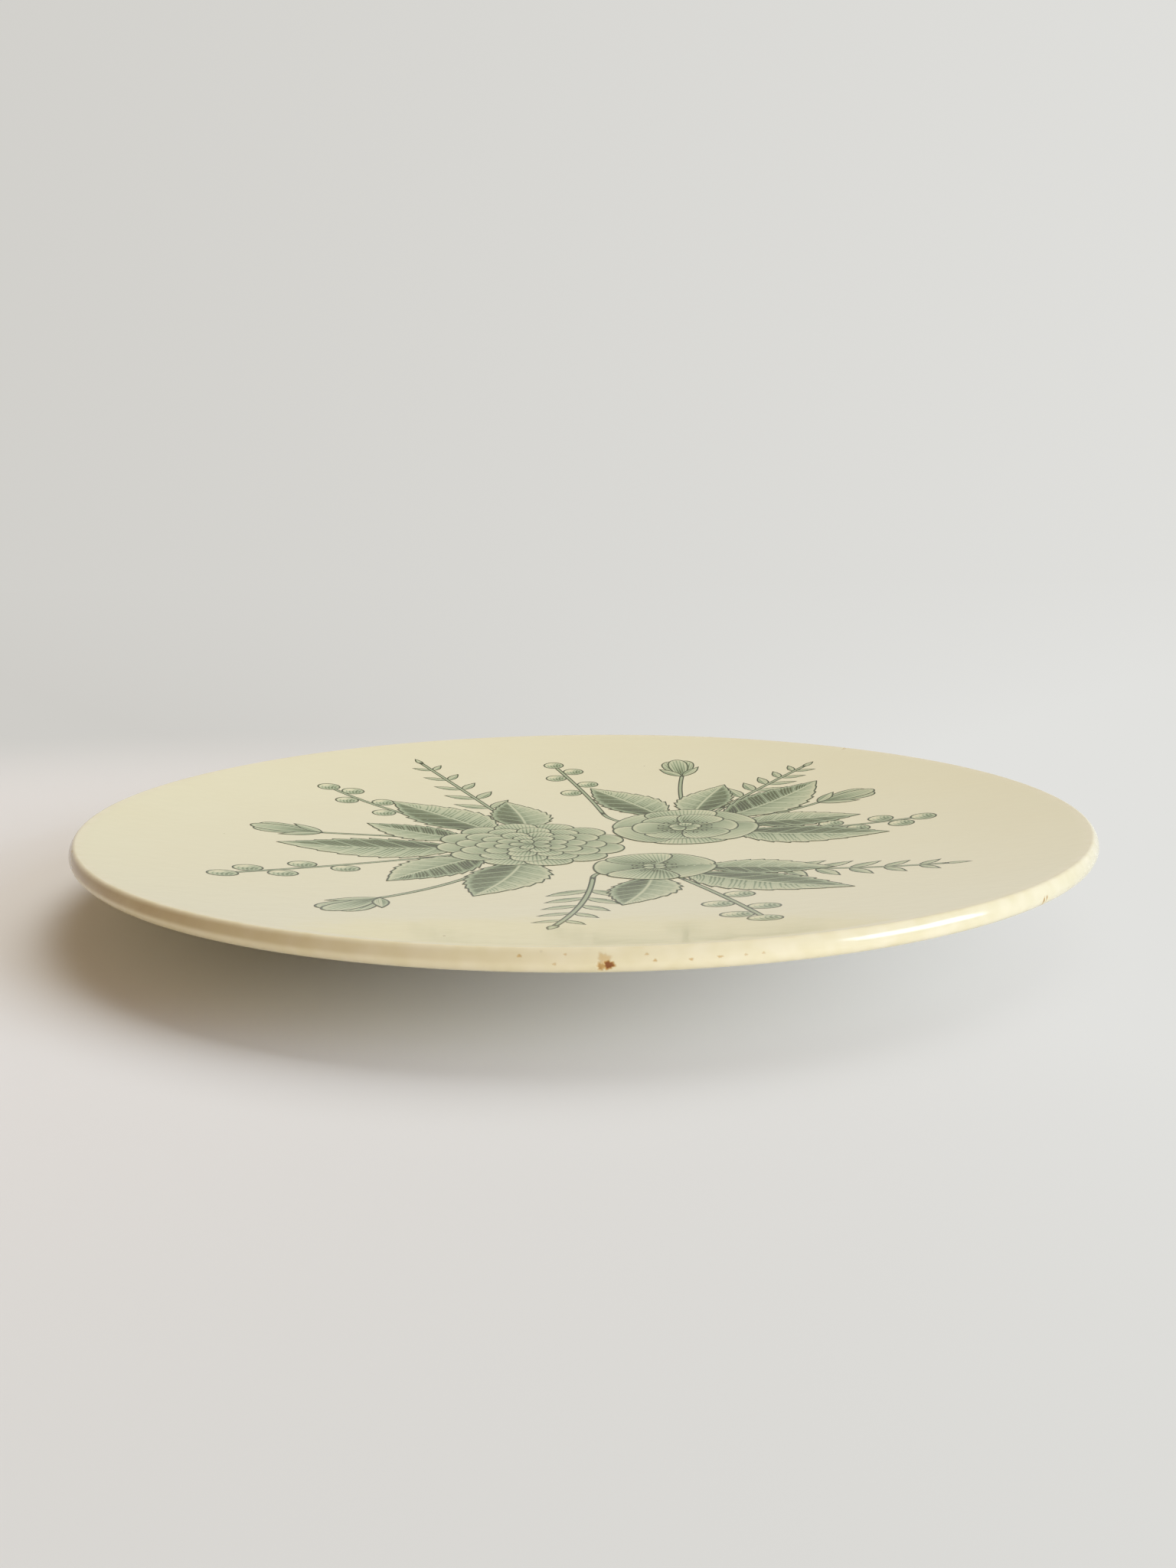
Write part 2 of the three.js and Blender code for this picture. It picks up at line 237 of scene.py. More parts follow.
# Fired biscuit: matt and chalky, off-white, with a fine grit, and grey-brown dirt in its pores that
# lies in patches.
GRIT = 0.6
GRIT_DEPTH = 0.1
DIRT_PATCH = 9.0
biscuit, tree, shader = new_material("fired ironstone biscuit")
place = node(tree, "TexCoord").outputs["Object"]
grit = node(tree, "TexNoise", {"Vector": place, "Scale": 1 / (GRIT * MM), "Detail": 4.0})
dirt = node(tree, "TexNoise", {"Vector": place, "Scale": 1 / (DIRT_PATCH * MM), "Detail": 5.0})
soiled = node(tree, "MapRange", {0: dirt.outputs["Fac"], 1: 0.40, 2: 0.9})
clay = node(tree, "Mix", {
    0: grit.outputs["Fac"],
    6: linear("#d8cbb0"),
    7: linear("#e6dcc6"),
}, data_type="RGBA")
clay = node(tree, "Mix", {
    0: soiled.outputs[0],
    6: clay.outputs[2],
    7: linear("#b8a584"),
}, data_type="RGBA")
pores = node(tree, "Bump", {
    "Height": grit.outputs["Fac"],
    "Strength": 0.5,
    "Distance": GRIT_DEPTH * MM,
})
tree.links.new(clay.outputs[2], shader.inputs["Base Color"])
tree.links.new(pores.outputs[0], shader.inputs["Normal"])
shader.inputs["Roughness"].default_value = 0.85

# The foot's rounded standing edge joins the two insets under the glaze.
CORNER_POINTS = 5
BODY_COLUMNS = 288
corner_turn = np.linspace(0, np.pi / 2, CORNER_POINTS)
low_corner = FOOT_CORNER * np.stack([np.sin(corner_turn), 1 - np.cos(corner_turn)], -1)
outside_corner = low_corner[::-1] + [FOOT_RADIUS - FOOT_CORNER, 0]
inside_corner = low_corner * [-1, 1] + [foot_inside + FOOT_CORNER, 0]
bare_top = np.array([[foot_outside(BARE_FOOT), BARE_FOOT]])
bare_in = np.array([[foot_inner(BARE_FOOT), BARE_FOOT]])
body_line = np.concatenate([
    inset(outer_line(face_rings=40, edge_step=0.4, back_rings=20, fillet_rings=8), GLAZE),
    bare_top,
    outside_corner,
    inside_corner,
    bare_in,
    inset(well_line(rings=20), GLAZE),
])
body_angles = np.linspace(0, 2 * np.pi, BODY_COLUMNS, endpoint=False)
body_points, body_faces = turned(body_line, body_angles)
make_piece("clay_body", body_points, body_faces, biscuit, ["biscuit_body"], "ironstone_biscuit")

# Outer glaze. A glassy cream skin that was dipped over the face, the edge and the back, and wiped
# from the foot. It is wavy where it ran over the edge, and use has chipped it there in a few places,
# down to clay that has turned brown.
FACE_RINGS = 38
EDGE_STEP = 0.13
EVEN_COLUMNS = 300
CHIP_COLUMNS = 15
CHIP_REACH = 0.72
CHIP_STEEPNESS = 2.5
BROWN_STEEPNESS = 2.0

# Each chip: azimuth in degrees, way below the face along the section, width, height, depth, and how
# brown it is.
CHIPS = np.array([
    [-88.30, 3.80, 2.2, 2.2, 0.16, 1.00],
    [-88.85, 4.10, 2.0, 2.2, 0.12, 0.50],
    [-88.65, 2.70, 2.6, 2.8, 0.00, 0.30],
    [-94.90, 2.09, 1.0, 0.7, 0.05, 0.40],
    [-92.30, 3.50, 0.9, 0.6, 0.04, 0.30],
    [-91.50, 1.75, 0.7, 0.5, 0.04, 0.30],
    [-85.50, 1.99, 0.9, 0.5, 0.04, 0.34],
    [-84.90, 3.13, 0.9, 0.6, 0.05, 0.42],
    [-82.20, 3.23, 1.0, 0.6, 0.05, 0.40],
    [-80.00, 3.07, 1.3, 0.5, 0.05, 0.38],
    [-78.00, 3.05, 0.8, 0.5, 0.04, 0.28],
    [-76.60, 3.00, 0.8, 0.5, 0.04, 0.26],
    [-45.90, 4.30, 0.7, 2.8, 0.07, 0.75],
    [-45.40, 3.80, 0.6, 1.9, 0.06, 0.60],
    [44.50, 0.30, 1.3, 0.9, 0.12, 0.70],
    [151.00, 2.90, 0.9, 0.7, 0.08, 0.60],
    [205.00, 1.00, 1.0, 0.6, 0.08, 0.50],
])
chip_turn, chip_below, chip_width, chip_height, chip_depth, chip_brown = CHIPS.T
chip_azimuth = (np.radians(chip_turn) + np.pi) % (2 * np.pi) - np.pi

# The columns stand evenly round the dish, with more of them across each chip.
even = np.linspace(-np.pi, np.pi, EVEN_COLUMNS, endpoint=False)
beside_chip = chip_width[:, None] / DISH_RADIUS * np.linspace(-CHIP_REACH, CHIP_REACH, CHIP_COLUMNS)
dense = (chip_azimuth[:, None] + beside_chip).ravel()
angles = np.unique(np.round(np.concatenate([even, dense]), 5))
line = outer_line(FACE_RINGS, EDGE_STEP, back_rings=22, fillet_rings=8)
under = inset(outer_line(face_rings=12, edge_step=1.0, back_rings=8, fillet_rings=4), GLAZE)
points, faces = turned(np.concatenate([line, under[::-1]]), angles)

# Every point of the outside knows its way along the section from the end of the face.
outside = slice(1, 1 + (len(line) - 1) * len(angles))
grid = points[outside].reshape(len(line) - 1, len(angles), 3)
way_along = np.cumsum(np.linalg.norm(np.diff(line, axis=0), axis=1))
below = way_along - way_along[FACE_RINGS - 2]


def chip_share(azimuth, middle, width, height):
    """How deep inside one chip each point lies: 1 at its middle, 0 at a ragged rim, an ellipse that
    a wave of three and a wave of seven bend in and out."""
    apart = (angles - azimuth + np.pi) % (2 * np.pi) - np.pi
    across = apart[None] * DISH_RADIUS / (width / 2)
    upward = ((middle - below) / (height / 2))[:, None]
    turn = np.arctan2(upward, across)
    ragged = 1 + 0.18 * np.sin(3 * turn + 40 * azimuth) + 0.12 * np.sin(7 * turn + 9 * middle)
    return np.clip(1 - np.hypot(across, upward) / ragged, 0, 1)


chips = zip(chip_azimuth, chip_below, chip_width, chip_height)
shares = np.stack([chip_share(*chip) for chip in chips])
depth = (chip_depth[:, None, None] * np.minimum(shares * CHIP_STEEPNESS, 1)).max(0)
bare = (chip_brown[:, None, None] * np.minimum(shares * BROWN_STEEPNESS, 1)).max(0)

# The band of the edge is tinted tan in bells round the edge, each with its azimuth and half width in
# degrees and its strength. The strong bell on the left is painted shade, for that side faces away from
# the light; the two faint ones are handling stains. The tint starts below the crest, and drops where
# the band ends and again along the back.
STAIN_AND_SHADE_BELLS = np.array([
    [-154, 48, 1.0],
    [100, 30, 0.30],
    [30, 20, 0.20],
])
BAND_START = (0.4, 1.7)
BAND_END = (2.9, 4.0)
BAND_DROP = 0.65
BACK_END = (5.0, 8.0)
BACK_DROP = 0.35


def eased(value, start, stop):
    """0 up to the start, 1 from the stop on, and an S-shaped rise between them."""
    share = np.clip((value - start) / (stop - start), 0, 1)
    return share * share * (3 - 2 * share)


bell_turn, bell_width, bell_strength = STAIN_AND_SHADE_BELLS.T[..., None]
from_bell = (np.degrees(angles) - bell_turn + 180) % 360 - 180
around_edge = (bell_strength * np.exp(-np.abs(from_bell / bell_width) ** 3)).max(0)
kept = 1 - BAND_DROP * eased(below, *BAND_END) - BACK_DROP * eased(below, *BACK_END)
on_band = eased(below, *BAND_START) * kept
stain_and_shade_on_band = on_band[:, None] * around_edge

# The glaze ran unevenly: a slow wander of the edge in waves of three and seven, always inwards from
# its full size.
WANDER = 0.025
WANDER_REACH = 9.0
wander = WANDER * (2 + np.sin(3 * angles + 0.7) + np.sin(7 * angles + 2.1))
fade = np.exp(-((line[1:, 0] - DISH_RADIUS) / WANDER_REACH) ** 2)[:, None]
square_on = np.gradient(line, axis=0)[1:]
square_on /= np.linalg.norm(square_on, axis=1, keepdims=True)
sink = depth + wander * fade
outward = np.stack([np.cos(angles), np.sin(angles)], -1)
grid[..., :2] += (sink * square_on[:, 1, None])[..., None] * outward
grid[..., 2] -= sink * square_on[:, 0, None]
points[outside] = grid.reshape(-1, 3)
bare_value = np.zeros(len(points))
bare_value[outside] = bare.ravel()
stain_and_shade_value = np.zeros(len(points))
stain_and_shade_value[outside] = stain_and_shade_on_band.ravel()

# Sizes of the glaze's patterns, and the radii between which it thins out over the edge.
CLOUD = 30.0
MOTTLE = 4.0
SPECK_SPACING = 12.0
RIPPLE = 5.0
RIPPLE_DEPTH = 0.03
WORN_PATCH = 40.0
THIN_START = 0.970 * DISH_RADIUS * MM
THIN_END = 0.992 * DISH_RADIUS * MM


def glaze_nodes(tree):
    """Colour, roughness and normal of the cream glaze: clouded, warmer and mottled where it thins over
    the edge, with far-spaced iron specks, a skin that waves by a few hundredths of a millimetre, and
    a gloss that wear has dulled in patches."""
    place = node(tree, "TexCoord").outputs["Object"]
    cloud = node(tree, "TexNoise", {"Vector": place, "Scale": 1 / (CLOUD * MM), "Detail": 4.0})
    cream = node(tree, "Mix", {
        0: cloud.outputs["Fac"],
        6: linear("#e2dab3"),
        7: linear("#e5dfbb"),
    }, data_type="RGBA")
    level = node(tree, "VectorMath", {0: place, 1: (1, 1, 0)}, operation="MULTIPLY").outputs[0]
    reach = node(tree, "VectorMath", {0: level}, operation="LENGTH").outputs["Value"]
    thin = node(tree, "MapRange", {0: reach, 1: THIN_START, 2: THIN_END})
    mottle = node(tree, "TexNoise", {"Vector": place, "Scale": 1 / (MOTTLE * MM), "Detail": 1.0})
    mottled = node(tree, "MapRange", {0: mottle.outputs["Fac"], 1: 0.3, 2: 0.7})
    rim = node(tree, "Mix", {
        0: mottled.outputs[0],
        6: linear("#e2d8b2"),
        7: linear("#e8dfbf"),
    }, data_type="RGBA")
    cream = node(tree, "Mix", {
        0: thin.outputs[0],
        6: cream.outputs[2],
        7: rim.outputs[2],
    }, data_type="RGBA")
    cell = node(tree, "TexVoronoi", {"Vector": place, "Scale": 1 / (SPECK_SPACING * MM)})
    spot = node(tree, "MapRange", {0: cell.outputs["Distance"], 1: 0.012, 2: 0.03, 3: 1.0, 4: 0.0})
    chance = node(tree, "MapRange", {0: cell.outputs["Color"], 1: 0.72, 2: 0.8})
    speck = node(tree, "Math", {0: spot.outputs[0], 1: chance.outputs[0]}, operation="MULTIPLY")
    cream = node(tree, "Mix", {
        0: speck.outputs[0],
        6: cream.outputs[2],
        7: linear("#6f5a3c"),
    }, data_type="RGBA")
    ripple = node(tree, "TexNoise", {"Vector": place, "Scale": 1 / (RIPPLE * MM), "Detail": 2.0})
    skin = node(tree, "Bump", {
        "Height": ripple.outputs["Fac"],
        "Strength": 1.0,
        "Distance": RIPPLE_DEPTH * MM,
    })
    worn = node(tree, "TexNoise", {"Vector": place, "Scale": 1 / (WORN_PATCH * MM), "Detail": 1.0})
    dull = node(tree, "MapRange", {0: worn.outputs["Fac"], 1: 0.2, 2: 0.8, 3: 0.05, 4: 0.08})
    gloss = node(tree, "Mix", {0: thin.outputs[0], 2: dull.outputs[0], 3: 0.13}, data_type="FLOAT")
    return cream.outputs[2], gloss.outputs[0], skin.outputs[0]


# Cream glaze: glassy and warm, a clear soft mirror at a low angle. Chips show brown, matt clay, and
# the tan on the edge lies in patches: painted shade on the left side, faint stains elsewhere.
RUST_GRAIN = 0.7
TAN_PATCH = 6.0
glaze, tree, shader = new_material("cream lead glaze")
cream, gloss, skin = glaze_nodes(tree)
chipped = node(tree, "Attribute", attribute_name="bare").outputs["Fac"]
place = node(tree, "TexCoord").outputs["Object"]
rust = node(tree, "TexNoise", {"Vector": place, "Scale": 1 / (RUST_GRAIN * MM), "Detail": 3.0})
handled = node(tree, "Attribute", attribute_name="handled").outputs["Fac"]
patch = node(tree, "TexNoise", {"Vector": place, "Scale": 1 / (TAN_PATCH * MM), "Detail": 4.0})
tan = node(tree, "Mix", {
    0: patch.outputs["Fac"],
    6: linear("#a18553"),
    7: linear("#b8a577"),
}, data_type="RGBA")
# Tan on the band of the edge: painted shade on the left side, faint handling stains elsewhere.
cream = node(tree, "Mix", {0: handled, 6: cream, 7: tan.outputs[2]}, data_type="RGBA").outputs[2]
uneven = node(tree, "Math", {0: rust.outputs["Fac"], 1: 0.7, 2: -0.35}, operation="MULTIPLY_ADD")
uneven = node(tree, "Math", {0: chipped, 1: uneven.outputs[0]}, operation="ADD")
deep = node(tree, "MapRange", {0: uneven.outputs[0], 1: 0.4, 2: 1.0})
rusty = node(tree, "Mix", {
    0: deep.outputs[0],
    6: linear("#bd964f"),
    7: linear("#855026"),
}, data_type="RGBA")
rusted = node(tree, "MapRange", {0: chipped, 1: 0.0, 2: 0.55})
colour = node(tree, "Mix", {0: rusted.outputs[0], 6: cream, 7: rusty.outputs[2]}, data_type="RGBA")
rough = node(tree, "Mix", {0: chipped, 2: gloss, 3: 0.7}, data_type="FLOAT")
tree.links.new(colour.outputs[2], shader.inputs["Base Color"])
tree.links.new(rough.outputs[0], shader.inputs["Roughness"])
tree.links.new(skin, shader.inputs["Normal"])
shader.inputs["IOR"].default_value = 1.5
make_piece("glaze_skin", points, faces, glaze, ["outer_glaze"], "cream_glaze",
           bare=bare_value, handled=stain_and_shade_value)

# Foot well glaze. The same dip inside the foot ring, parted from the outer skin by the wiped foot.
# It pooled a little at the corner of the hollow.
well = well_line(rings=24)
well_shell = np.concatenate([inset(well, GLAZE)[::-1], well])
well_points, well_faces = turned(well_shell, body_angles)
unworn = np.zeros(len(well_points))
make_piece("foot_well_skin", well_points, well_faces, glaze, ["foot_well_glaze"], "cream_glaze",
           bare=unworn, handled=unworn)

# Blooms. Flower heads of an engraved transfer, printed in sage green and fired on the face, where
# each patch of ink is a film that stands about a tenth of a millimetre proud. The plate's lines show
# as dark outlines, washes that fade towards them, and hatching along the petals.
FILM_BASE = -0.02
LAYER_STEP = 0.005
NO_RIB = 9.0
NO_VEIN = 0.5


def heading(turn):
    """Two unit vectors of the plan: along a direction in degrees, and across it to the left."""
    turn = np.radians(turn)
    along = np.array([np.cos(turn), np.sin(turn)])
    return along, np.array([-along[1], along[0]])


def outline_distance(plan):
    """Shortest way from every grid point to the straight pieces of the grid's own outline."""
    start = np.concatenate([plan[:-1, 0], plan[-1, :-1], plan[:0:-1, -1], plan[0, :0:-1]])
    step = np.roll(start, -1, 0) - start
    apart = plan.reshape(-1, 1, 2) - start
    share = (apart * step).sum(-1) / np.maximum((step * step).sum(-1), 1e-9)
    nearest = apart - np.clip(share, 0, 1)[..., None] * step
    return np.linalg.norm(nearest, axis=-1).min(1).reshape(plan.shape[:2])


def film(plan, height, wash, rib=NO_RIB, vein=NO_VEIN, hatch=0.0):
    """One closed film from a grid of plan points: its top lies on the face raised by a height, its
    bottom just inside the glaze, and four walls join them. Wash is the ink's tone, rib the way to
    a midrib in millimetres, vein and hatch count lines."""
    rows, columns = plan.shape[:2]
    level = face_height(np.linalg.norm(plan, axis=-1))
    top = np.concatenate([plan, (level + height)[..., None]], -1).reshape(-1, 3)
    bottom = np.concatenate([plan, (level + FILM_BASE)[..., None]], -1).reshape(-1, 3)
    index = np.arange(rows * columns).reshape(rows, columns)
    quads = np.stack([index[:-1, :-1], index[1:, :-1], index[1:, 1:], index[:-1, 1:]], -1)
    quads = quads.reshape(-1, 4)
    loop = np.concatenate([index[:-1, 0], index[-1, :-1], index[:0:-1, -1], index[0, :0:-1]])
    after = np.roll(loop, -1)
    walls = np.stack([loop + len(top), after + len(top), after, loop], -1)
    faces = np.concatenate([quads, quads[:, ::-1] + len(top), walls])
    edge = outline_distance(plan)
    values = [np.broadcast_to(v, (rows, columns)).ravel() for v in (edge, wash, rib, vein, hatch)]
    return np.concatenate([top, bottom]), faces, np.tile(values, 2)


def print_motif(name, node_name, films):
    """Joins the films of one motif into one piece."""
    count = np.cumsum([0] + [len(part[0]) for part in films])
    points = np.concatenate([part[0] for part in films])
    faces = np.concatenate([part[1] + start for part, start in zip(films, count)])
    edge, wash, rib, vein, hatch = np.concatenate([part[2] for part in films], 1)
    make_piece(name, points, [faces], ink, [node_name], "green_ink",
               edge=edge, wash=wash, rib=rib, vein=vein, hatch=hatch)


# Fired green ink: a sage film, a little duller than the glaze round it. Engraved lines lie 0.3 mm
# apart and would vanish at this distance, so the hatching is drawn about a millimetre apart.
ink, tree, shader = new_material("fired sage green ink")
cream, gloss, skin = glaze_nodes(tree)
edge, wash, rib, vein, hatch = [
    node(tree, "Attribute", attribute_name=title).outputs["Fac"]
    for title in ("edge", "wash", "rib", "vein", "hatch")
]

# A dark line follows the outline, the wash pales just inside it, and each line of the hatching is as
# thick as the wash is dark.
border = node(tree, "MapRange", {0: edge, 1: 0.3, 2: 0.7, 3: 0.95, 4: 0.0})
inside = node(tree, "MapRange", {0: edge, 1: 0.6, 2: 1.9, 3: 0.5, 4: 1.0})
wave = node(tree, "Math", {0: hatch, 1: 0.5}, operation="PINGPONG")
thick = node(tree, "Math", {0: wash, 1: 0.5, 2: -0.02}, operation="MULTIPLY_ADD")
ahead = node(tree, "Math", {0: thick.outputs[0], 1: wave.outputs[0]}, operation="SUBTRACT")
stroke = node(tree, "MapRange", {0: ahead.outputs[0], 1: -0.08, 2: 0.08, 3: 0.0, 4: 0.3})
tone = node(tree, "Math", {0: wash, 1: 0.72, 2: stroke.outputs[0]}, operation="MULTIPLY_ADD")

# Veins and midribs are spared from the ink.
near_vein = node(tree, "Math", {0: vein, 1: 0.5}, operation="PINGPONG")
light_vein = node(tree, "MapRange", {0: near_vein.outputs[0], 1: 0.02, 2: 0.07, 3: 0.5, 4: 1.0})
light_rib = node(tree, "MapRange", {0: rib, 1: 0.15, 2: 0.6, 3: 0.35, 4: 1.0})
spared = node(tree, "Math", {0: light_vein.outputs[0], 1: light_rib.outputs[0]}, operation="MINIMUM")
spared = node(tree, "Math", {0: spared.outputs[0], 1: inside.outputs[0]}, operation="MINIMUM")
tone = node(tree, "Math", {0: tone.outputs[0], 1: spared.outputs[0]}, operation="MULTIPLY")
tone = node(tree, "Math", {0: tone.outputs[0], 1: border.outputs[0]}, operation="MAXIMUM")
sage = node(tree, "ValToRGB", {"Fac": tone.outputs[0]})
sage.color_ramp.elements[0].color = linear("#ffffff")
sage.color_ramp.elements[1].color = linear("#36381a")
for stop, colour in ((0.3, "#cddcd7"), (0.6, "#93aa9b"), (0.85, "#5f6b44")):
    sage.color_ramp.elements.new(stop).color = linear(colour)
colour = node(tree, "Mix", {0: 1.0, 6: cream, 7: sage.outputs["Color"]},
              data_type="RGBA", blend_type="MULTIPLY")
tree.links.new(colour.outputs[2], shader.inputs["Base Color"])
tree.links.new(gloss, shader.inputs["Roughness"])
tree.links.new(skin, shader.inputs["Normal"])
shader.inputs["IOR"].default_value = 1.16

BLOOM_HEIGHT = 0.08
HATCH_SPACING = 1.0
PETAL_WASH = 0.27
BASE_SHADE = 1.1
TIP_SHADE = 0.12
SIDE_SHADE = 0.28
disc_side = np.array([-1, -0.93, -0.8, -0.6, -0.3, 0, 0.3, 0.6, 0.8, 0.93, 1])


def petal(at, turn, length, width, height, base=0.5, dark=0.5, lit=0.0):
    """A petal: a square grid bent to a disc, stretched to the petal's length and width and drawn in
    towards its base. It is dark at the base, a little at the tip, and on the side that the lit share
    turns away."""
    u, v = np.meshgrid(disc_side, disc_side, indexing="ij")
    ahead = (u * np.sqrt(1 - v ** 2 / 2) + 1) / 2
    aside = v * np.sqrt(1 - u ** 2 / 2)
    beside = aside * (base + (1 - base) * ahead)
    beside *= width / 2 / np.abs(beside).max()
    along, across = heading(turn)
    plan = np.asarray(at) + (length * ahead)[..., None] * along + beside[..., None] * across
    wash = PETAL_WASH + BASE_SHADE * dark * (1 - ahead) ** 1.5 + TIP_SHADE * ahead ** 6
    wash = wash + SIDE_SHADE * lit * aside
    return film(plan, height, np.clip(wash, 0, 1), hatch=aside * width / 2 / HATCH_SPACING)


def petal_ring(at, count, start, inner, outer, width, layer, **shade):
    """Petals side by side round a middle, every second one a layer higher."""
    turns = [start + 360 * k / count for k in range(count)]
    return [
        petal(np.asarray(at) + inner * heading(turn)[0], turn, outer - inner, width,
              BLOOM_HEIGHT + LAYER_STEP * (layer + k % 2), **shade)
        for k, turn in enumerate(turns)
    ]


# Each ring of petals: its middle, how many, the turn of the first, where they start and end, their
# width and their layer.
dahlia = (-15.0, -5.0)
anemone = (30.0, 14.0)
windflower = (18.0, -34.0)
print_motif("dahlia_print", "ink_dahlia", [
    *petal_ring(dahlia, 12, 15, 10, 27, 13.5, 0, dark=0.6, lit=0.5),
    *petal_ring(dahlia, 12, 0, 7, 21.5, 10.5, 2, dark=0.6, lit=0.5),
    *petal_ring(dahlia, 10, 8, 4, 16, 8.5, 4, dark=0.6, lit=0.4),
    *petal_ring(dahlia, 8, 20, 1.5, 11, 6.5, 6, dark=0.65, lit=0.4),
    *petal_ring(dahlia, 5, 40, 0, 6.5, 4.6, 8, dark=0.7),
])
print_motif("anemone_print", "ink_anemone", [
    *petal_ring(anemone, 6, 30, 2.5, 22, 23, 0, base=0.35, dark=0.55, lit=0.6),
    *petal_ring(anemone, 6, 0, 1.5, 16, 15, 2, base=0.4, dark=0.6, lit=0.5),
    *petal_ring(anemone, 14, 6, 6.2, 8.4, 1.7, 4, dark=0.9),
    *petal_ring(anemone, 5, 10, 0, 5.2, 5.0, 6, dark=0.8),
])
print_motif("windflower_print", "ink_windflower", [
    *petal_ring(windflower, 5, 36, 1.5, 16, 19, 0, base=0.35, dark=0.55, lit=0.6),
    *petal_ring(windflower, 10, 18, 4.4, 6.2, 1.5, 2, dark=0.9),
    *petal_ring(windflower, 4, 45, 0, 3.6, 3.6, 4, dark=0.8),
])

# Leaves. Toothed leaves of the same transfer, tucked behind the blooms, with a bare midrib and side
# veins, and one half of each leaf in shade.
LEAF_FULLNESS = 0.8
LEAF_HEIGHT = 0.055
LEAF_END = 0.997
LEAF_WASH = 0.56
LEAF_HALF_SHADE = 0.22
LEAF_BASE_SHADE = 0.22
LEAF_SIDE_LIGHT = 0.1
TOOTH_STEPS = np.array([0.0, 0.4, 0.75, 0.97])
TOOTH_SWEEP = 0.1
VEIN_SLANT = 0.9
HATCHES_PER_VEIN = 5
leaf_columns = np.array([-1, -0.93, -0.8, -0.55, -0.25, 0, 0.25, 0.55, 0.8, 0.93, 1])


def leaf(at, turn, length, width, bend, height, start=0.0, teeth=9, bite=0.12, veins=7.0, shade=1.0):
    """A leaf: its half width is a sine of the share of its length to the fullness, its midrib bends
    with the square of that share, and each tooth widens evenly towards the tip, then drops. The wash
    is darker on one half and at the base, and paler at the sides."""
    steps = (np.arange(teeth)[:, None] + TOOTH_STEPS).ravel() / teeth
    ahead = start + (LEAF_END - start) * np.append(steps, 1.0)
    tooth = 1 - bite * (1 - np.append(steps, 1.0) * teeth % 1)
    tooth[-1] = 1
    half = width / 2 * np.sin(np.pi * ahead ** LEAF_FULLNESS) * tooth
    side = leaf_columns[None]
    beside = bend * ahead[:, None] ** 2 + side * half[:, None]
    along, across = heading(turn)
    reach = length * ahead[:, None] + TOOTH_SWEEP * np.abs(side) * half[:, None]
    plan = np.asarray(at) + reach[..., None] * along + beside[..., None] * across
    count = veins * ahead[:, None] - VEIN_SLANT * np.abs(side)
    wash = LEAF_WASH + LEAF_HALF_SHADE * shade * np.tanh(4 * side)
    wash = wash + LEAF_BASE_SHADE * (1 - ahead[:, None]) ** 2 - LEAF_SIDE_LIGHT * np.abs(side) ** 2
    rib = np.abs(side) * half[:, None]
    return film(plan, height, np.clip(wash, 0, 1), rib, count, HATCHES_PER_VEIN * count)


# Each leaf: the bloom that it grows from, its direction, length, width and bend.
LEAF_TUCK = 0.72
LEAF_HIDDEN = 0.08
BLOOM_RADIUS = {dahlia: 27.0, anemone: 22.0, windflower: 16.0}
LEAVES = [
    (dahlia, 96, 36, 20, 5),
    (dahlia, 128, 48, 24, 7),
    (dahlia, 163, 34, 18, -4),
    (dahlia, 196, 50, 25, -7),
    (dahlia, 231, 40, 21, 6),
    (dahlia, 266, 46, 22, -6),
    (anemone, -32, 44, 22, 7),
    (anemone, 4, 36, 19, -5),
    (anemone, 38, 50, 24, 6),
    (anemone, 76, 38, 19, -5),
    (anemone, 112, 44, 21, 6),
    (windflower, -10, 34, 18, -5),
    (windflower, -48, 46, 22, 6),
    (windflower, -96, 36, 18, -5),
]
for number, (bloom, turn, length, width, bend) in enumerate(LEAVES, 1):
    at = np.asarray(bloom) + LEAF_TUCK * BLOOM_RADIUS[bloom] * heading(turn)[0]
    height = LEAF_HEIGHT + LAYER_STEP * (number % 2 + 2 * (bloom == anemone))
    hidden = LEAF_HIDDEN * BLOOM_RADIUS[bloom] / length
    shape = leaf(at, turn, length, width, bend, height, hidden, shade=np.sign(bend))
    print_motif(f"leaf_{number}_print", f"ink_leaf_{number}", [shape])

# Buds. Half-open flowers on bent stalks, in the same ink: three petals wrapped over each other, and
# two sepals that hold them.
STALK_WIDTH = 1.6
STALK_STEPS = 25
STALK_WASH = 0.62
STALK_SHADE = 0.2
BUD_LENGTH = 21.0
BUD_WIDTH = 13.0
SIDE_PETAL_START = 1.5
SIDE_PETAL_SHORTER = 3.0
SIDE_PETAL_WIDTH = 0.62 * BUD_WIDTH
SIDE_PETAL_LEAN = 9.0
MIDDLE_PETAL_WIDTH = 0.56 * BUD_WIDTH
SEPAL_LENGTH = 13.0
SEPAL_WIDTH = 4.0
SEPAL_LEAN = 34.0
BUD_HEIGHT = 0.028
stalk_columns = np.array([-1, -0.5, 0, 0.5, 1])


def bent(base, control, tip, share):
    """Point and unit direction of a quadratic curve at each share of its length."""
    share = np.asarray(share, float)[..., None]
    place = (1 - share) ** 2 * base + 2 * share * (1 - share) * control + share ** 2 * tip
    way = (1 - share) * (control - base) + share * (tip - control)
    return place, way / np.linalg.norm(way, axis=-1, keepdims=True)


def stalk(base, control, tip, height):
    """A stalk: a strip of even width carried along a bent line, darker on its right side."""
    place, way = bent(base, control, tip, np.linspace(0, 1, STALK_STEPS))
    side = stalk_columns[None]
    across = np.stack([-way[:, 1], way[:, 0]], -1)
    plan = place[:, None] + (side * STALK_WIDTH / 2)[..., None] * across[:, None]
    return film(plan, height, STALK_WASH - STALK_SHADE * side)


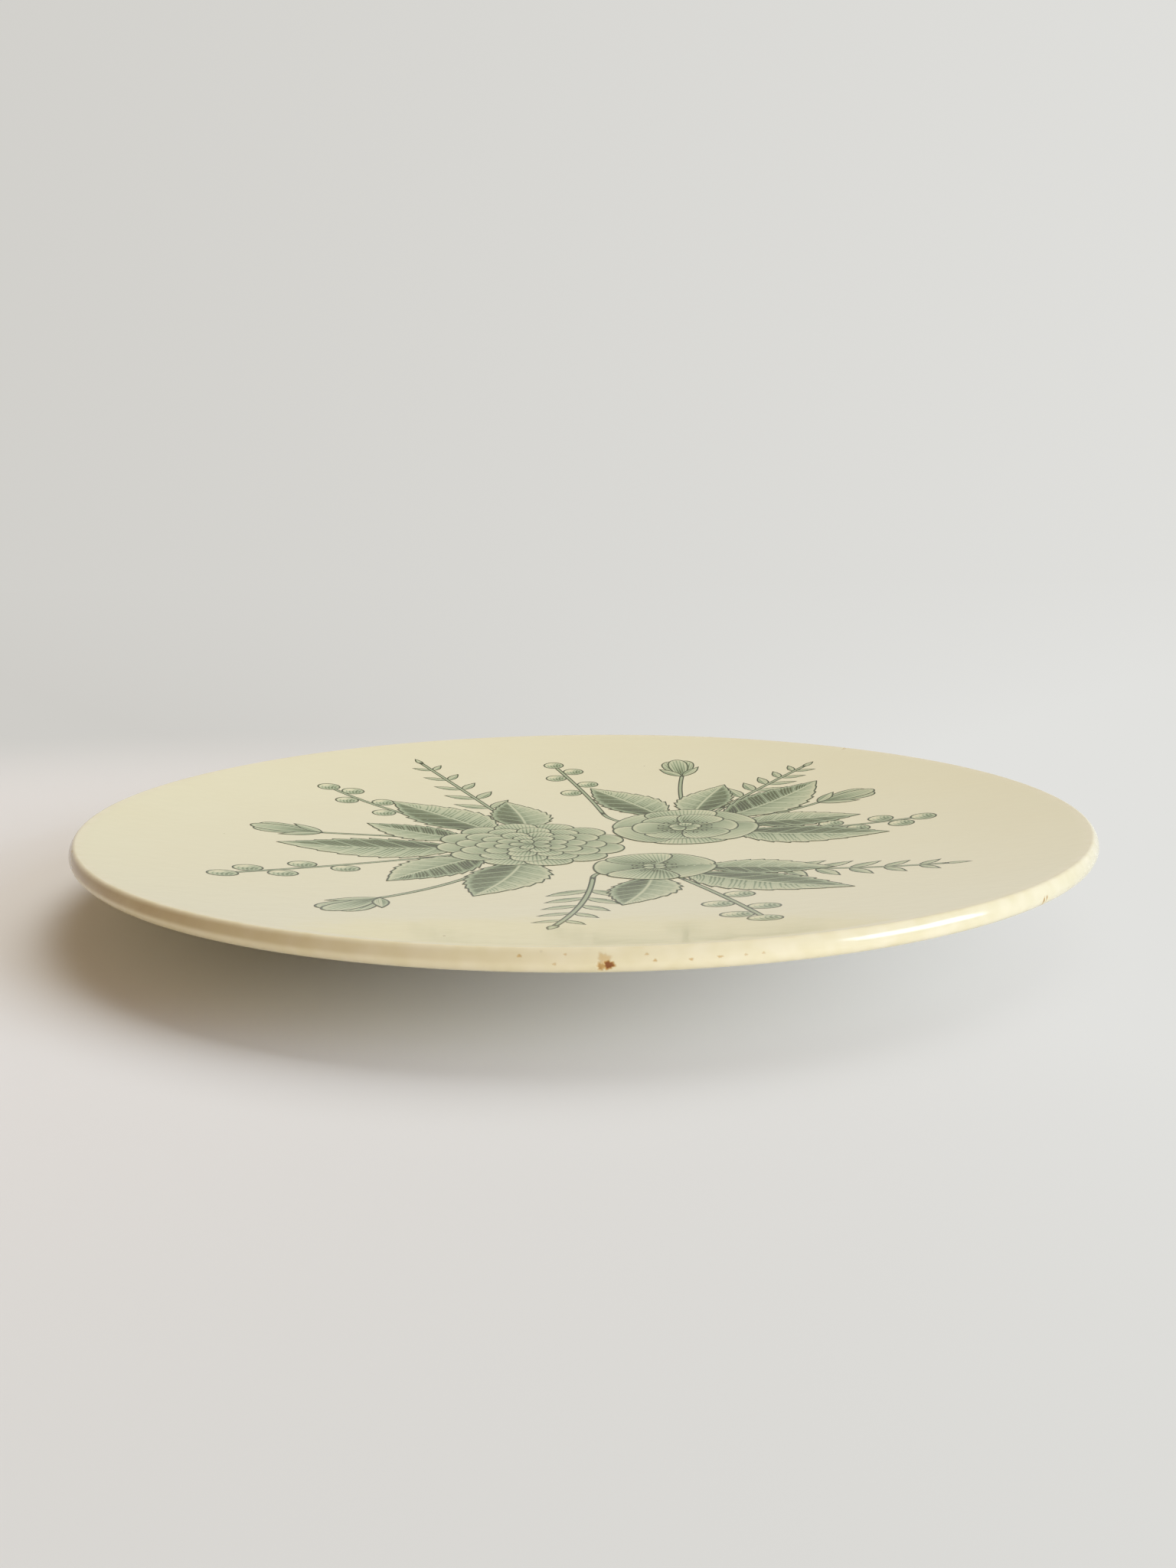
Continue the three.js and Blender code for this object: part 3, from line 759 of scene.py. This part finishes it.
def stalk_root(base, turn, height):
    """The hidden start of a stalk: it leaves the middle of the nearest bloom, under its petals, and
    bends into the stalk's own direction at its base."""
    middle = min(BLOOM_RADIUS, key=lambda bloom: np.hypot(*(base - bloom)) - BLOOM_RADIUS[bloom])
    back = heading(turn)[0] * np.hypot(*(base - middle)) / 2
    return stalk(np.asarray(middle), base - back, base, height)


# Each bud: where its stalk comes out, its direction, whole length and bend.
BUDS = {
    "left": ((-40, 0), 176, 56, 4),
    "near": ((-26, -40), 248, 62, -5),
    "right": ((50, 20), 22, 48, 3),
    "far": ((32, 38), 92, 62, -4),
}
for title, (at, turn, length, bend) in BUDS.items():
    at = np.asarray(at, float)
    along, across = heading(turn)
    neck = at + along * (length - BUD_LENGTH) + across * bend
    base = neck - along * STALK_WIDTH / 2
    films = [
        stalk_root(at, turn, BUD_HEIGHT),
        stalk(at, at + along * (length - BUD_LENGTH) / 2, neck, BUD_HEIGHT),
    ]
    for layer, side in ((1, 1), (2, -1)):
        films.append(petal(
            base + SIDE_PETAL_START * along, turn + side * SIDE_PETAL_LEAN,
            BUD_LENGTH - SIDE_PETAL_SHORTER, SIDE_PETAL_WIDTH,
            BUD_HEIGHT + layer * LAYER_STEP, dark=0.5, lit=0.5 * side,
        ))
    films.append(petal(
        base + along, turn, BUD_LENGTH - 1, MIDDLE_PETAL_WIDTH, BUD_HEIGHT + 3 * LAYER_STEP, dark=0.6,
    ))
    for side in (1, -1):
        films.append(leaf(
            base, turn + side * SEPAL_LEAN, SEPAL_LENGTH, SEPAL_WIDTH, 0,
            BUD_HEIGHT + 4 * LAYER_STEP, teeth=4, bite=0, veins=0.0,
        ))
    print_motif(f"bud_{title}_print", f"ink_bud_{title}", films)

# Berry sprays. Round berries in the same ink, on both sides of a bent stalk and one at its tip, each
# with a spared highlight.
BERRY = 7.5
BERRY_WASH = 0.5
BERRY_RIGHT_SHADE = 0.25
BERRY_LOW_SHADE = 0.2
BERRY_PALEST = 0.04
BERRY_LINES = 3.5
BERRY_LINE_BOW = 0.4
SHINE_ASIDE = 0.3
SHINE_SPREAD = 0.12
BERRY_PLACES = ((0.45, 1), (0.6, -1), (0.75, 1), (0.86, -1), (1, 0))
SPRAY_HEIGHT = 0.018


def berry(middle, height):
    """A berry: a square grid bent to a disc, darkest low on the right, and pale at its highlight, a
    bell to the upper left. Its lines bow to the left."""
    u, v = np.meshgrid(disc_side, disc_side, indexing="ij")
    right = u * np.sqrt(1 - v ** 2 / 2)
    up = v * np.sqrt(1 - u ** 2 / 2)
    plan = middle + BERRY / 2 * np.stack([right, up], -1)
    shine = np.exp(-((right + SHINE_ASIDE) ** 2 + (up - SHINE_ASIDE) ** 2) / SHINE_SPREAD)
    wash = BERRY_WASH + BERRY_RIGHT_SHADE * right - BERRY_LOW_SHADE * up - BERRY_WASH * shine
    lines = (right - BERRY_LINE_BOW * up ** 2) * BERRY_LINES
    return film(plan, height, np.clip(wash, BERRY_PALEST, 1), hatch=lines)


# Each spray: where its stalk comes out, its direction, length and bend.
SPRAYS = {
    "far": ((6, 34), 100, 64, 6),
    "far_left": ((-38, 16), 146, 60, -6),
    "near_left": ((-42, -24), 214, 56, 6),
    "near_right": ((24, -50), -70, 54, -7),
    "right": ((50, 4), -10, 47, 5),
}
for title, (at, turn, length, bend) in SPRAYS.items():
    at = np.asarray(at, float)
    along, across = heading(turn)
    control = at + along * length / 2
    tip = at + along * length + across * bend
    films = [stalk_root(at, turn, SPRAY_HEIGHT), stalk(at, control, tip, SPRAY_HEIGHT)]
    for share, side in BERRY_PLACES:
        middle = bent(at, control, tip, share)[0] + across * side * (BERRY / 2 + STALK_WIDTH / 4)
        films.append(berry(middle, SPRAY_HEIGHT + LAYER_STEP))
    print_motif(f"spray_{title}_print", f"ink_spray_{title}", films)

# Fern fronds. Pairs of plain leaflets in the same ink along a bent stalk, shorter towards its tip,
# with one leaflet at the end.
LEAFLET_LENGTH = 15.0
LEAFLET_WIDTH = 5.5
LEAFLET_LEAN = 48.0
LEAFLET_TAPER = 0.55
LEAFLET_PLACES = np.linspace(0.25, 0.87, 5)
END_LEAFLET = 0.97
FROND_HEIGHT = 0.008


def leaflet(curve, share, lean, height):
    """A leaflet on a bent stalk: a small leaf that leans away from the stalk's own direction."""
    place, way = bent(*curve, share)
    size = 1 - LEAFLET_TAPER * share
    facing = np.degrees(np.arctan2(way[1], way[0])) + lean
    return leaf(place, facing, LEAFLET_LENGTH * size, LEAFLET_WIDTH * size, 0, height,
                teeth=5, bite=0.06, veins=0.0, shade=np.sign(lean))


# Each frond: where its stalk comes out, its direction, length and bend.
FRONDS = {
    "far_left": ((-22, 22), 112, 80, 8),
    "near": ((2, -46), 268, 60, -6),
    "near_right": ((38, -38), -28, 52, 6),
    "far_right": ((44, 36), 58, 54, -6),
}
for title, (at, turn, length, bend) in FRONDS.items():
    at = np.asarray(at, float)
    along, across = heading(turn)
    curve = (at, at + along * length / 2, at + along * length + across * bend)
    films = [leaflet(curve, END_LEAFLET, 0, FROND_HEIGHT)]
    for share in LEAFLET_PLACES:
        films.append(leaflet(curve, share, LEAFLET_LEAN, FROND_HEIGHT))
        films.append(leaflet(curve, share, -LEAFLET_LEAN, FROND_HEIGHT))
    films.append(stalk_root(at, turn, FROND_HEIGHT + LAYER_STEP))
    films.append(stalk(*curve, FROND_HEIGHT + LAYER_STEP))
    print_motif(f"frond_{title}_print", f"ink_frond_{title}", films)

# Floor. Plain pale paper under the dish, far wider than the view. Away from the shadow, which falls to
# the left, the camera and mirrors see it fade to the pale room behind it; this glow is painted light,
# which lifts the dish's shadow on the right and in front.
FLOOR_HALF = 6.0
FLOOR_LINES = 13
FLOOR_DROP = 0.00002
# The pale room is painted darker on the left, as shade away from the light on the right.
WALL_LEFT = "#cfcdc8"
WALL_RIGHT = "#e2e2df"
WALL_SPREAD = 0.6
SHADOW_MIDDLE = (-0.20, -0.02, 0.0)
FADE_START = 0.13
FADE_END = 0.35
floor_side = FLOOR_HALF * np.linspace(-1, 1, FLOOR_LINES)
floor_x, floor_y = np.meshgrid(floor_side, floor_side, indexing="ij")
floor_z = np.full_like(floor_x, -FLOOR_DROP)
floor_points = np.stack([floor_x, floor_y, floor_z], -1).reshape(-1, 3)
floor_index = np.arange(FLOOR_LINES ** 2).reshape(FLOOR_LINES, FLOOR_LINES)
floor_quads = np.stack([
    floor_index[:-1, :-1], floor_index[1:, :-1], floor_index[1:, 1:], floor_index[:-1, 1:],
], -1).reshape(-1, 4)


def pale_wall(tree, way):
    """Colour of the pale room in a direction from the dish, a little darker on the left as painted
    shade, for the light comes from the right.
    """
    sideways = node(tree, "SeparateXYZ", {0: way}).outputs["X"]
    across = node(tree, "MapRange", {0: sideways, 1: -WALL_SPREAD, 2: WALL_SPREAD}).outputs[0]
    return node(tree, "Mix", {0: across, 6: linear(WALL_LEFT), 7: linear(WALL_RIGHT)},
                data_type="RGBA").outputs[2]


def seen_directly(tree):
    """1 for camera, glossy and transmission rays, 0 for the rays that carry soft light."""
    path = node(tree, "LightPath")
    seen = path.outputs["Is Camera Ray"]
    for title in ("Is Glossy Ray", "Is Transmission Ray"):
        seen = node(tree, "Math", {0: seen, 1: path.outputs[title]}, operation="MAXIMUM").outputs[0]
    return seen


# Matt paper: soft, even and pale, with next to no shine.
paper, tree, shader = new_material("matt white paper")
shader.inputs["Base Color"].default_value = linear("#e6e5e4")
shader.inputs["Roughness"].default_value = 0.9
shader.inputs["Specular IOR Level"].default_value = 0.1
place = node(tree, "TexCoord").outputs["Object"]
# Painted light: from here out the camera sees the paper glow as the pale room, which lightens the
# shadow on the right.
apart = node(tree, "VectorMath", {0: place, 1: SHADOW_MIDDLE}, operation="SUBTRACT")
away = node(tree, "VectorMath", {0: apart.outputs[0]}, operation="LENGTH").outputs["Value"]
far = node(tree, "MapRange", {0: away, 1: FADE_START, 2: FADE_END}, interpolation_type="SMOOTHSTEP")
far = node(tree, "Math", {0: far.outputs[0], 1: seen_directly(tree)}, operation="MULTIPLY").outputs[0]
way = node(tree, "VectorMath", {0: place}, operation="NORMALIZE").outputs[0]
painted_glow = node(tree, "Emission", {"Color": pale_wall(tree, way), "Strength": 1.0})
faded = node(tree, "MixShader", {0: far, 1: shader.outputs[0], 2: painted_glow.outputs[0]})
tree.links.new(faded.outputs[0], tree.nodes["Material Output"].inputs["Surface"])
floor_mesh = bpy.data.meshes.new("paper_floor")
floor_mesh.from_pydata(floor_points, [], floor_quads.tolist())
floor_mesh.materials.append(paper)
floor = bpy.data.objects.new("paper_floor", floor_mesh)
bpy.context.scene.collection.objects.link(floor)

# Light. A wide cool window on the right with one low pane that mirrors in the edge, a pale ceiling, a
# dim lamp in front, a lit card on the floor before the dish, and a warm dim room that fills the
# shadows. A lamp's level is what it adds to white paper that lies flat where the dish stands.
WINDOW = dict(azimuth=-12, elevation=30, away=4.0, width=2.6, height=1.6, level=0.10)
PANE = dict(azimuth=-21, elevation=15, away=4.0, width=2.2, height=1.3, level=0.105)
CEILING = dict(azimuth=65, elevation=60, away=4.0, width=3.0, height=3.0, level=0.58)
FRONT = dict(azimuth=-85, elevation=10, away=4.0, width=4.0, height=1.2, level=0.037)
WINDOW_COLOUR = (0.78, 1.0, 1.30)
CEILING_COLOUR = (0.96, 1.0, 1.0)
FRONT_COLOUR = (1.0, 0.98, 0.94)
ROOM_COLOUR = (1.0, 0.70, 0.42, 1.0)
ROOM_LEVEL = 0.32
CARD_AZIMUTH = -70
CARD_AWAY = 0.31
CARD_WIDTH = 0.6
CARD_DEPTH = 0.3
CARD_HEIGHT = 0.0002
CARD_LEVEL = 1.0


def soft_lamp(name, colour, azimuth, elevation, away, width, height, level):
    """A rectangular lamp that faces the dish from an azimuth and elevation in degrees. Its power
    gives flat paper at the dish the level, as level times pi squared times distance squared over
    the sine of the elevation."""
    light = bpy.data.lights.new(name, "AREA")
    light.shape = "RECTANGLE"
    light.size = width
    light.size_y = height
    light.color = colour
    light.energy = level * np.pi ** 2 * away ** 2 / np.sin(np.radians(elevation))
    lamp = bpy.data.objects.new(name, light)
    lamp.matrix_world = (
        Matrix.Rotation(np.radians(azimuth + 90), 4, "Z")
        @ Matrix.Rotation(np.radians(90 - elevation), 4, "X")
        @ Matrix.Translation((0, 0, away))
    )
    bpy.context.scene.collection.objects.link(lamp)
    return lamp


soft_lamp("window", WINDOW_COLOUR, **WINDOW).visible_glossy = False
soft_lamp("pane", WINDOW_COLOUR, **PANE)
soft_lamp("ceiling", CEILING_COLOUR, **CEILING).visible_glossy = False
soft_lamp("front", FRONT_COLOUR, **FRONT).visible_glossy = False
card_light = bpy.data.lights.new("card", "AREA")
card_light.shape = "RECTANGLE"
card_light.size = CARD_DEPTH
card_light.size_y = CARD_WIDTH
card_light.energy = CARD_LEVEL * np.pi * CARD_DEPTH * CARD_WIDTH
card = bpy.data.objects.new("card", card_light)
card.matrix_world = (
    Matrix.Rotation(np.radians(CARD_AZIMUTH), 4, "Z")
    @ Matrix.Translation((CARD_AWAY, 0, CARD_HEIGHT))
    @ Matrix.Rotation(np.pi, 4, "X")
)
card.visible_glossy = False
bpy.context.scene.collection.objects.link(card)
room = bpy.data.worlds.new("room")
room.use_nodes = True
bpy.context.scene.world = room
tree = room.node_tree
fill = tree.nodes["Background"]
fill.inputs["Color"].default_value = ROOM_COLOUR
fill.inputs["Strength"].default_value = ROOM_LEVEL
ray = node(tree, "TexCoord").outputs["Generated"]
pale = node(tree, "Background", {"Color": pale_wall(tree, ray), "Strength": 1.0})
shown = node(tree, "MixShader", {0: seen_directly(tree), 1: fill.outputs[0], 2: pale.outputs[0]})
tree.links.new(shown.outputs[0], tree.nodes["World Output"].inputs["Surface"])

# Camera. It looks a little down on the dish from the front, and is turned and tilted by half a degree
# or less. Its place is in metres, its angles in degrees.
CAMERA_PLACE = (0.0, -0.329, 0.0857)
CAMERA_TURN = -0.2
CAMERA_DOWN = 10.3
CAMERA_TILT = -0.5
SENSOR = 36.0
FOCAL_LENGTH = 27.03
lens = bpy.data.cameras.new("camera")
lens.sensor_width = SENSOR
lens.lens = FOCAL_LENGTH
camera = bpy.data.objects.new("camera", lens)
camera.matrix_world = (
    Matrix.Translation(CAMERA_PLACE)
    @ Matrix.Rotation(np.radians(CAMERA_TURN), 4, "Z")
    @ Matrix.Rotation(np.radians(90 - CAMERA_DOWN), 4, "X")
    @ Matrix.Rotation(np.radians(CAMERA_TILT), 4, "Z")
)
bpy.context.scene.collection.objects.link(camera)
bpy.context.scene.camera = camera
bpy.context.scene.view_settings.view_transform = "Standard"
